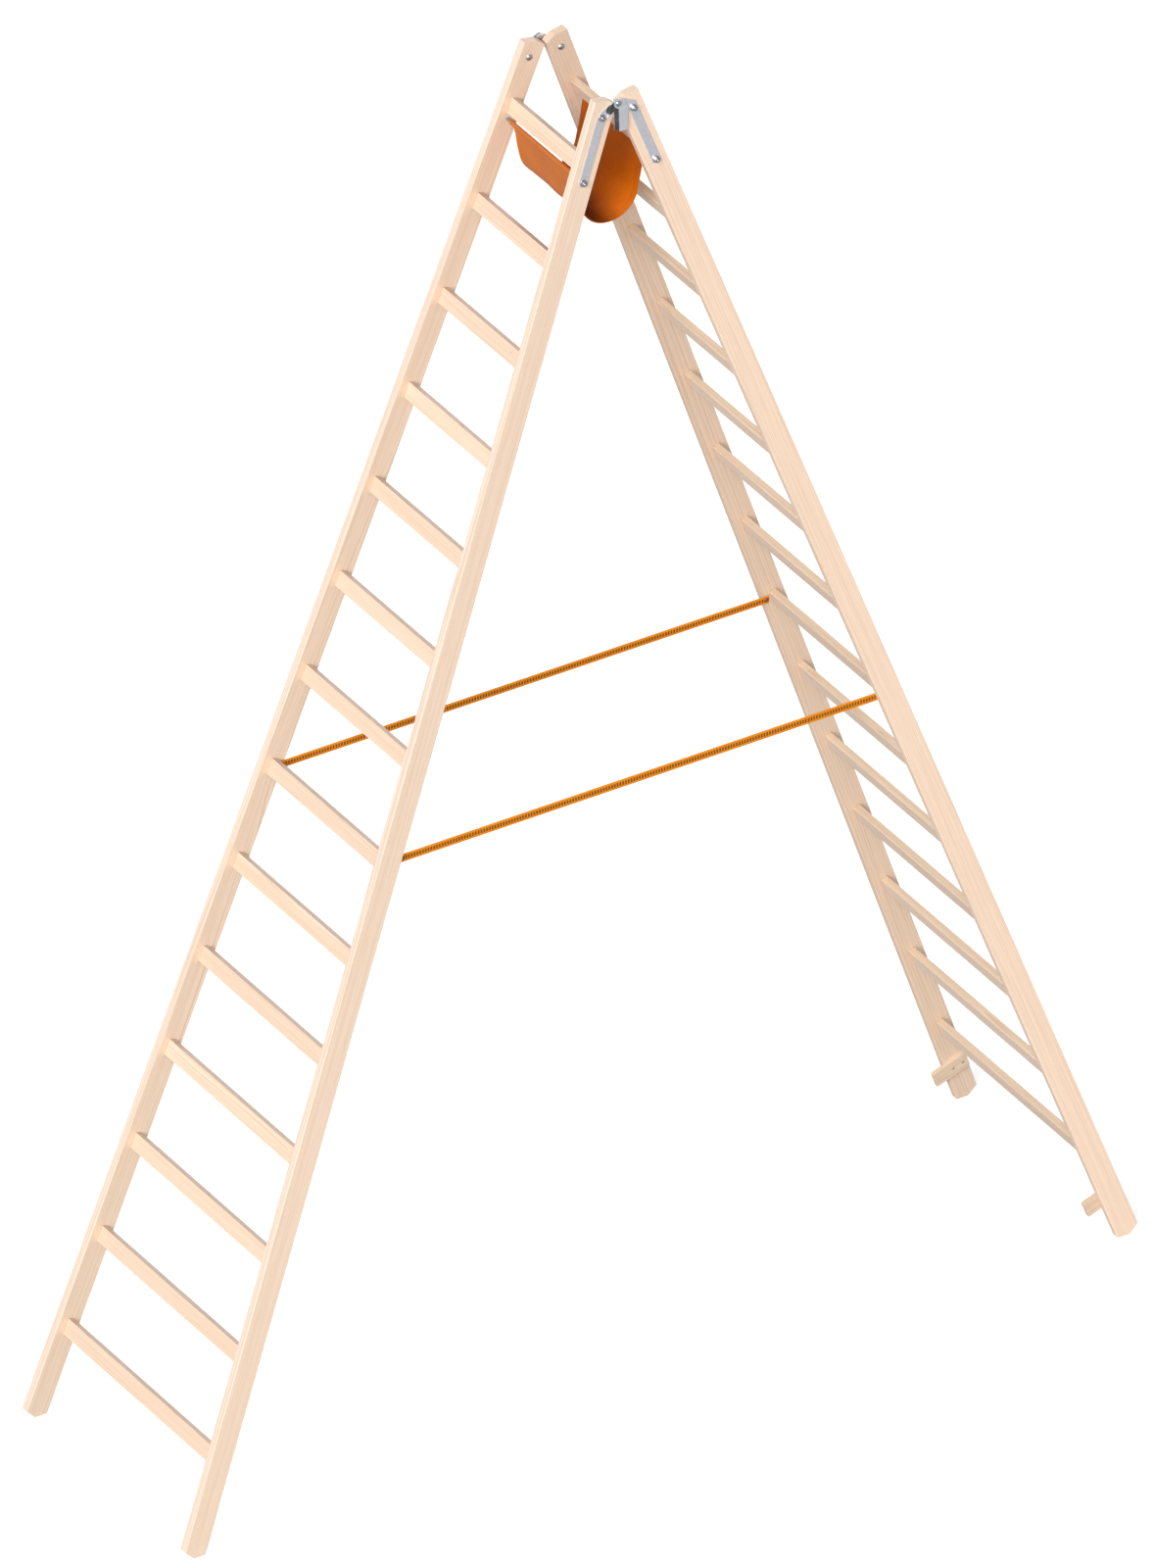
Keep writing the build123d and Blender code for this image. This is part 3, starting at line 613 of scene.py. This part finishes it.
# Painted shade on the inner face: dark low towards the front wall, and darker up the back wall.
along_cut = reckon(tree, "DIVIDE", parts[1], cloth_length)
flat_place = put(tree, "ShaderNodeUVMap", uv_map="cut").outputs[0]
trough_shade = speckle(tree, flat_place, (9, 9, 1), 3.0, 0.6).outputs["Fac"]
trough_shade = reckon(tree, "MULTIPLY_ADD", trough_shade, 0.16, reckon(tree, "SUBTRACT", along_cut, 0.08))
trough_shade_mask = reckon(tree, "MULTIPLY", fade(tree, trough_shade, 0.41, 0.54), fade(tree, trough_shade, 0.62, 0.82, 1.0, 0.35))
colour = blend_colours(tree, reckon(tree, "MULTIPLY", trough_shade_mask, 0.90), colour, (0.100, 0.022, 0.001, 1))
colour = blend_colours(tree, fade(tree, along_cut, 0.38, 0.16, 0.0, 0.70), colour, (0.300, 0.058, 0.001, 1))
tree.links.new(colour, shader.inputs["Base Color"])
sling.data.materials.append(outer_face)
sling.data.materials.append(inner_face)
cut = sling.data.uv_layers["cut"]
for face in sling.data.polygons:
    at = np.mean([cut.data[i].uv.y for i in face.loop_indices])
    row = min(int(np.searchsorted(section_lengths, at)), row_count - 1)
    row_outward = Vector((0, section_normals[row].x, section_normals[row].y))
    face.material_index = int(face.normal.dot(row_outward) < 0)
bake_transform(sling)
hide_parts("tool_sling")

# Stitching of the sling
# Rows of lockstitch in strong thread, seen on both faces: two rows close each hem round its rod,
# and one row holds down each turned-in end.
stitch_pitch = 0.0040
stitch_half = Vector((0.0016, 0.00038, 0.00032))
stitch_inset = 0.006
hem_rows = (0.0190, 0.0265)
end_row = 0.0105
bpy.ops.mesh.primitive_uv_sphere_add(segments=8, ring_count=5, radius=1)
stitch = bpy.context.object
bpy.ops.object.mode_set(mode="EDIT")
bpy.ops.mesh.select_all(action="SELECT")
bpy.ops.transform.rotate(value=pi / 2, orient_axis="Y", center_override=(0, 0, 0))
bpy.ops.transform.resize(value=stitch_half)
bpy.ops.object.mode_set(mode="OBJECT")


def sew(thread_mesh, places):
    """Adds one copy of the stitch at each place, run and face."""
    for place, run, face in places:
        run = run.normalized()
        face = (face - run * face.dot(run)).normalized()
        turn = Matrix((run, face.cross(run), face)).transposed().to_4x4()
        start = len(thread_mesh.verts)
        thread_mesh.from_mesh(stitch.data)
        thread_mesh.verts.ensure_lookup_table()
        new_vertices = thread_mesh.verts[start:]
        bmesh.ops.transform(thread_mesh, matrix=Matrix.Translation(place) @ turn, verts=new_vertices)


stitch_places = []
hem_half = cloth_thickness * 0.5
stitch_count = round((cloth_width - 2 * stitch_inset) / stitch_pitch)
for x in np.linspace(sling_low.x + stitch_inset, sling_high.x - stitch_inset, stitch_count):
    for d in hem_rows:
        for mirror in (1, -1):
            for spot, face in ((wall_head + lap + downward * d + outward * hem_half, outward),
                               (wall_head + downward * d - outward * hem_half, -outward)):
                stitch_places.append((Vector((x, mirror * spot.x, spot.y)), Vector((1, 0, 0)),
                                      Vector((0, mirror * face.x, face.y))))
sewn_length = cloth_length - 2 * hem_length
for step in range(round(sewn_length / stitch_pitch)):
    at = hem_length + (step + 0.5) * stitch_pitch
    row = int(np.searchsorted(section_lengths, at))
    share = (at - section_lengths[row - 1]) / (section_lengths[row] - section_lengths[row - 1])
    for x in (sling_low.x + end_row, sling_high.x - end_row):
        for lift in (turned_in_thickness / 2, -turned_in_thickness / 2):
            before, after = cloth_point(x, row - 1, lift), cloth_point(x, row, lift)
            face = Vector((0, section_normals[row].x, section_normals[row].y)) * (1 if lift > 0 else -1)
            stitch_places.append((before.lerp(after, share), after - before, face))
sewing = bmesh.new()
sew(sewing, stitch_places)
stitching_mesh = bpy.data.meshes.new("sling_stitching")
sewing.to_mesh(stitching_mesh)
sewing.free()
stitching = bpy.data.objects.new("sling_stitching", stitching_mesh)
bpy.context.scene.collection.objects.link(stitching)
for face in stitching_mesh.polygons:
    face.use_smooth = True
bpy.data.objects.remove(stitch)
thread, tree, shader = new_material("orange_thread")
place = put(tree, "ShaderNodeTexCoord").outputs["Object"]
ply = speckle(tree, place, (1800, 1800, 1800), 2.0).outputs["Fac"]
colour = blend_colours(tree, ply, (0.34, 0.085, 0.012, 1), (0.62, 0.20, 0.04, 1))
tree.links.new(colour, shader.inputs["Base Color"])
tree.links.new(reckon(tree, "MULTIPLY_ADD", ply, 0.2, 0.55), shader.inputs["Roughness"])
stitching_mesh.materials.append(thread)
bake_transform(stitching)

# Spread straps
# Two bands of orange woven webbing, 22 mm wide, that keep the ladders from sliding apart. Each runs level
# and taut from the inner face of a front stile to the back stile, and is held at each end by a screw
# with a cup washer. A row of dark threads is woven in along its middle.
strap_width = 0.022
strap_thickness = 0.0017
strap_tilt = radians(2.903)
strap_rounding = 0.42
strap_cuts = (6, 15)
strap_long_edge = 0.05
warp_threads = 620.0
weft_threads = 1000.0
mark_period = 0.008
mark_half_width = (0.0046, 0.0054)
webbing, tree, shader = new_material("orange_webbing")
flat_place = put(tree, "ShaderNodeUVMap", uv_map="cut").outputs[0]
parts = put(tree, "ShaderNodeSeparateXYZ", {0: flat_place}).outputs
twilled = reckon(tree, "ADD", parts[0], reckon(tree, "MULTIPLY", parts[1], 0.5))
warp_count = reckon(tree, "MULTIPLY", twilled, warp_threads)
weft_count = reckon(tree, "MULTIPLY", parts[1], weft_threads)
threads = put(tree, "ShaderNodeCombineXYZ", {0: warp_count, 1: weft_count, 2: 0.0}).outputs[0]
weave = put(tree, "ShaderNodeGroup", node_tree=plain_weave)
tree.links.new(threads, weave.inputs["Threads"])
cloud = speckle(tree, flat_place, (25, 60, 1), 4.0, 0.6).outputs["Fac"]
off_middle = reckon(tree, "ABSOLUTE", parts[1])
selvedge = fade(tree, off_middle, strap_width * 0.40, strap_width * 0.46)
dash = fade(tree, reckon(tree, "SINE", reckon(tree, "MULTIPLY", parts[0], 2 * pi / mark_period)), -0.5, 0.1)
tracer = reckon(tree, "MULTIPLY", fade(tree, off_middle, *mark_half_width, 1.0, 0.0), dash)
colour = blend_colours(tree, cloud, (0.760, 0.225, 0.003, 1), (0.880, 0.290, 0.006, 1))
colour = blend_colours(tree, reckon(tree, "MULTIPLY", selvedge, 0.35), colour, (0.820, 0.310, 0.030, 1))
colour = blend_colours(tree, reckon(tree, "MULTIPLY", tracer, 0.92), colour, (0.130, 0.045, 0.008, 1))
# The hollows of the weave are painted darker: painted shade.
shade = reckon(tree, "MULTIPLY_ADD", weave.outputs["Height"], 0.35, 0.76)
weave_shade = put(tree, "ShaderNodeCombineColor", {0: shade, 1: shade, 2: shade}).outputs[0]
tree.links.new(blend_colours(tree, 1.0, colour, weave_shade, "MULTIPLY"), shader.inputs["Base Color"])
tree.links.new(reckon(tree, "MULTIPLY_ADD", cloud, 0.15, 0.55), shader.inputs["Roughness"])
shader.inputs["Specular IOR Level"].default_value = 0.2
bump = put(tree, "ShaderNodeBump", {"Height": weave.outputs["Height"], "Strength": 0.6, "Distance": 0.0003})
tree.links.new(bump.outputs[0], shader.inputs["Normal"])
for side, mirror in (("right", 1), ("left", -1)):
    strap_low, strap_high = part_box(f"spread_strap_{side}")
    middle = (strap_low + strap_high) / 2
    half_length = (strap_high.y - strap_low.y) / 2
    bpy.ops.mesh.primitive_cube_add(size=1, location=(0, 0, 0))
    strap = bpy.context.object
    strap.name = strap.data.name = f"spread_strap_{side}_webbing"
    bpy.ops.object.mode_set(mode="EDIT")
    bpy.ops.mesh.select_all(action="SELECT")
    bpy.ops.transform.resize(value=(strap_thickness, 2 * half_length, strap_width))
    shape = bmesh.from_edit_mesh(strap.data)
    for edge in shape.edges:
        edge.select_set(abs(edge.verts[0].co.y - edge.verts[1].co.y) > half_length)
    bmesh.update_edit_mesh(strap.data)
    bpy.ops.mesh.bevel(offset=strap_thickness * strap_rounding, segments=3, affect="EDGES")
    for cuts in strap_cuts:
        shape = bmesh.from_edit_mesh(strap.data)
        for edge in shape.edges:
            edge.select_set(abs(edge.verts[0].co.y - edge.verts[1].co.y) > strap_long_edge)
        bmesh.update_edit_mesh(strap.data)
        bpy.ops.mesh.subdivide(number_cuts=cuts)
    bpy.ops.object.mode_set(mode="OBJECT")
    cut = strap.data.uv_layers[0]
    cut.name = "cut"
    for loop in strap.data.loops:
        co = strap.data.vertices[loop.vertex_index].co
        cut.data[loop.index].uv = (co.y, co.z)
    strap.data.transform(Matrix.Translation(middle) @ Matrix.Rotation(-mirror * strap_tilt, 4, "Y"))
    bpy.ops.object.shade_smooth_by_angle(angle=radians(40))
    strap.data.materials.append(webbing)
    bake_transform(strap)
    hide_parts(f"spread_strap_{side}")

# Floor and light
# A plain pale studio floor without an edge in sight, one large soft lamp low at the front right, a weak
# one behind, and a white surround that is dimmer overhead.
floor_size = 160
floor_drop = 0.0005
bpy.ops.mesh.primitive_plane_add(size=floor_size, location=(0, 0, -floor_drop))
floor = bpy.context.object
floor.name = "studio_floor"
floor_paint, tree, shader = new_material("floor_paint")
seen_by_eye = put(tree, "ShaderNodeLightPath").outputs["Is Camera Ray"]
colour = blend_colours(tree, seen_by_eye, (0.42, 0.42, 0.42, 1), (0.50, 0.50, 0.50, 1))
tree.links.new(colour, shader.inputs["Base Color"])
shader.inputs["Roughness"].default_value = 0.9
shader.inputs["Specular IOR Level"].default_value = 0.0
shader.inputs["Emission Color"].default_value = (1, 1, 1, 1)
tree.links.new(reckon(tree, "MULTIPLY", seen_by_eye, 0.65), shader.inputs["Emission Strength"])
floor.data.materials.append(floor_paint)
bpy.ops.object.light_add(type="SUN", location=(4, -4, 6), rotation=(radians(60), 0, radians(43)))
lamp = bpy.context.object
lamp.name = "soft_lamp"
lamp.data.energy = 3.1
lamp.data.angle = radians(36)
bpy.ops.object.light_add(type="SUN", location=(-4, 4, 3), rotation=(radians(82), 0, radians(238)))
fill = bpy.context.object
fill.name = "fill_lamp"
fill.data.energy = 1.1
fill.data.angle = radians(50)
world = bpy.data.worlds.new("white_surround")
bpy.context.scene.world = world
world.use_nodes = True
tree = world.node_tree
tree.nodes.clear()
heading = put(tree, "ShaderNodeTexCoord").outputs["Generated"]
upward = put(tree, "ShaderNodeSeparateXYZ", {0: heading}).outputs[2]
glow_strength = fade(tree, upward, 0.1, 0.9, 0.74, 0.36)
glow = put(tree, "ShaderNodeBackground", {"Color": (1, 1, 1, 1), "Strength": glow_strength})
seen = put(tree, "ShaderNodeBackground", {"Color": (1, 1, 1, 1), "Strength": 1.0})
seen_by_eye = put(tree, "ShaderNodeLightPath").outputs["Is Camera Ray"]
either = put(tree, "ShaderNodeMixShader", {0: seen_by_eye, 1: glow.outputs[0], 2: seen.outputs[0]})
put(tree, "ShaderNodeOutputWorld", {"Surface": either.outputs[0]})
bpy.context.scene.view_settings.view_transform = "Standard"
